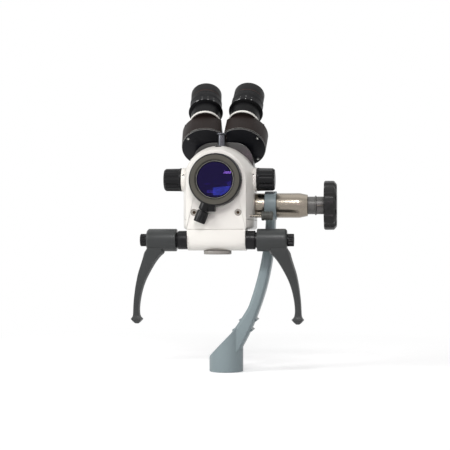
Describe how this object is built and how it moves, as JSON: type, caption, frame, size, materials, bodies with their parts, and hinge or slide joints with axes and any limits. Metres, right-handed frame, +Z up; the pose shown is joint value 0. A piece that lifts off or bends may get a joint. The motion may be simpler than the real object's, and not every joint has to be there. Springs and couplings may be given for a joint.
{
  "type": "colposcope head on curved arm",
  "caption": "White colposcope head with inclined binocular tube, lever handles and focus and magnification knobs, tilting in the eye of a curved grey arm with a stand socket.",
  "frame": {"origin": "centre of the stand socket's mouth, at the arm's lower end", "axes": "+Z up along the stand spindle, the objective looks along -Y, the tilt clamp is on +X"},
  "size_m": [0.2783, 0.1809, 0.4102],
  "materials": {
    "arm_paint": "satin",
    "white_paint": "semi-gloss",
    "white_ring": "satin",
    "black_anodised": "satin",
    "drum_black": "semi-gloss",
    "ring_black": "satin",
    "knob_black": "gloss",
    "wheel_black": "satin",
    "lever_black": "satin",
    "rubber_black": "matte",
    "steel": "brushed",
    "spring_steel": "plain",
    "screw_steel": "plain",
    "bright_screw": "bright",
    "bush_plastic": "matte",
    "grey_knob": "satin",
    "brass": "plain",
    "optical_glass": "polished",
    "coated_glass": "coated",
    "green_glass": "polished",
    "lamp_plastic": "gloss",
    "cap_plastic": "gloss"
  },
  "bodies": {
    "arm": {"swan_arm": "arm_paint", "arm_socket": "arm_paint", "socket_bush": "bush_plastic", "cable_clips": "arm_paint", "tilt_barrel": "steel", "disc_springs": "spring_steel", "thrust_sleeve": "black_anodised"},
    "head": {"housing": "white_paint", "front_plate": "white_paint", "rear_cover": "white_paint", "bottom_tray": "white_paint", "handle_block": "white_paint", "block_cap": "cap_plastic", "front_screws": "screw_steel", "objective_ring": "ring_black", "focus_boss": "black_anodised", "light_box": "black_anodised", "head_prisms": "optical_glass", "led_lamp": "lamp_plastic", "tilt_spindle": "steel", "handle_bar": "black_anodised", "tube_base": "drum_black"},
    "clamp_wheel": {"handwheel": "wheel_black"},
    "filter": {"filter_slide": "steel", "green_filter": "green_glass", "filter_knob": "grey_knob"},
    "magnification": {"magnification_drum": "black_anodised", "drum_lenses": "optical_glass", "magnification_shaft": "steel", "left_magnification_knob": "knob_black", "right_magnification_knob": "knob_black"},
    "focus": {"focus_knob": "knob_black"},
    "lens": {"lens_cell": "black_anodised", "objective_lens": "coated_glass", "lens_retainer": "brass"},
    "left_lever": {"left_handle": "lever_black"},
    "right_lever": {"right_handle": "lever_black"},
    "left_lock": {"left_end_screw": "knob_black"},
    "right_lock": {"right_end_screw": "knob_black"},
    "tube_clamp": {"tube_clamp_screw": "steel"},
    "left_tube": {"left_drum": "drum_black", "left_drum_cover": "black_anodised", "left_cover_screws": "bright_screw", "left_gear": "steel", "left_prism": "optical_glass", "left_tube_ring": "white_ring", "left_eyepiece": "black_anodised", "left_eye_lens": "optical_glass"},
    "left_dioptre": {"left_dioptre_ring": "wheel_black"},
    "left_cup": {"left_eyecup": "rubber_black"},
    "right_tube": {"right_drum": "drum_black", "right_drum_cover": "black_anodised", "right_cover_screws": "bright_screw", "right_gear": "steel", "right_prism": "optical_glass", "right_tube_ring": "white_ring", "right_eyepiece": "black_anodised", "right_eye_lens": "optical_glass"},
    "right_dioptre": {"right_dioptre_ring": "wheel_black"},
    "right_cup": {"right_eyecup": "rubber_black"}
  },
  "joints": [
    {"name": "head_tilt", "type": "hinge", "parent": "arm", "child": "head", "pos_m": [0.062, 0, 0.229], "axis": [-1, 0, 0], "range_deg": [-10, 35]},
    {"name": "clamp_wheel_turn", "type": "hinge", "parent": "head", "child": "clamp_wheel", "pos_m": [0.142, 0, 0.229], "axis": [1, 0, 0], "range_deg": [-180, 180]},
    {"name": "filter_push", "type": "slide", "parent": "head", "child": "filter", "axis": [-1, 0, 0], "range_m": [0, 0.012]},
    {"name": "magnification_turn", "type": "hinge", "parent": "head", "child": "magnification", "pos_m": [-0.008, -0.013, 0.2645], "axis": [1, 0, 0], "continuous": true},
    {"name": "focus_turn", "type": "hinge", "parent": "head", "child": "focus", "pos_m": [-0.008, -0.063, 0.262], "axis": [-0.3584, 0, -0.9336], "range_deg": [-71.62, 71.62]},
    {"name": "focus_slide", "type": "slide", "parent": "head", "child": "lens", "axis": [0, 1, 0], "range_m": [-0.0025, 0.0025]},
    {"name": "left_lever_swing", "type": "hinge", "parent": "head", "child": "left_lever", "pos_m": [-0.083, -0.0445, 0.1813], "axis": [1, 0, 0], "range_deg": [-40, 40]},
    {"name": "right_lever_swing", "type": "hinge", "parent": "head", "child": "right_lever", "pos_m": [0.067, -0.0445, 0.1813], "axis": [1, 0, 0], "range_deg": [-40, 40]},
    {"name": "left_lock_turn", "type": "hinge", "parent": "head", "child": "left_lock", "pos_m": [-0.108, -0.0445, 0.1813], "axis": [1, 0, 0], "range_deg": [-180, 180]},
    {"name": "right_lock_turn", "type": "hinge", "parent": "head", "child": "right_lock", "pos_m": [0.092, -0.0445, 0.1813], "axis": [1, 0, 0], "range_deg": [-180, 180]},
    {"name": "tube_clamp_turn", "type": "hinge", "parent": "head", "child": "tube_clamp", "pos_m": [-0.008, 0.01136, 0.317], "axis": [0, 0, 1], "range_deg": [-180, 180]},
    {"name": "right_drum_swing", "type": "hinge", "parent": "head", "child": "right_tube", "pos_m": [0.0174, 0.038, 0.312], "axis": [0.0645, 0.7056, 0.7056], "range_deg": [-3, 20]},
    {"name": "right_dioptre_turn", "type": "hinge", "parent": "right_tube", "child": "right_dioptre", "pos_m": [0.02179, 0.07283, 0.37313], "axis": [0.0645, 0.7056, 0.7056], "range_deg": [-120, 120]},
    {"name": "right_cup_slide", "type": "slide", "parent": "right_tube", "child": "right_cup", "axis": [0.0645, 0.7056, 0.7056], "range_m": [0, 0.006]},
    {"name": "left_drum_swing", "type": "hinge", "parent": "head", "child": "left_tube", "pos_m": [-0.0334, 0.038, 0.312], "axis": [-0.0645, 0.7056, 0.7056], "range_deg": [-20, 3]},
    {"name": "left_dioptre_turn", "type": "hinge", "parent": "left_tube", "child": "left_dioptre", "pos_m": [-0.03779, 0.07283, 0.37313], "axis": [-0.0645, 0.7056, 0.7056], "range_deg": [-120, 120]},
    {"name": "left_cup_slide", "type": "slide", "parent": "left_tube", "child": "left_cup", "axis": [-0.0645, 0.7056, 0.7056], "range_m": [0, 0.006]}
  ],
  "couplings": [
    {"joint": "left_drum_swing", "follows": "right_drum_swing", "ratio": -1},
    {"joint": "focus_turn", "follows": "focus_slide", "rad_per_m": 500}
  ]
}
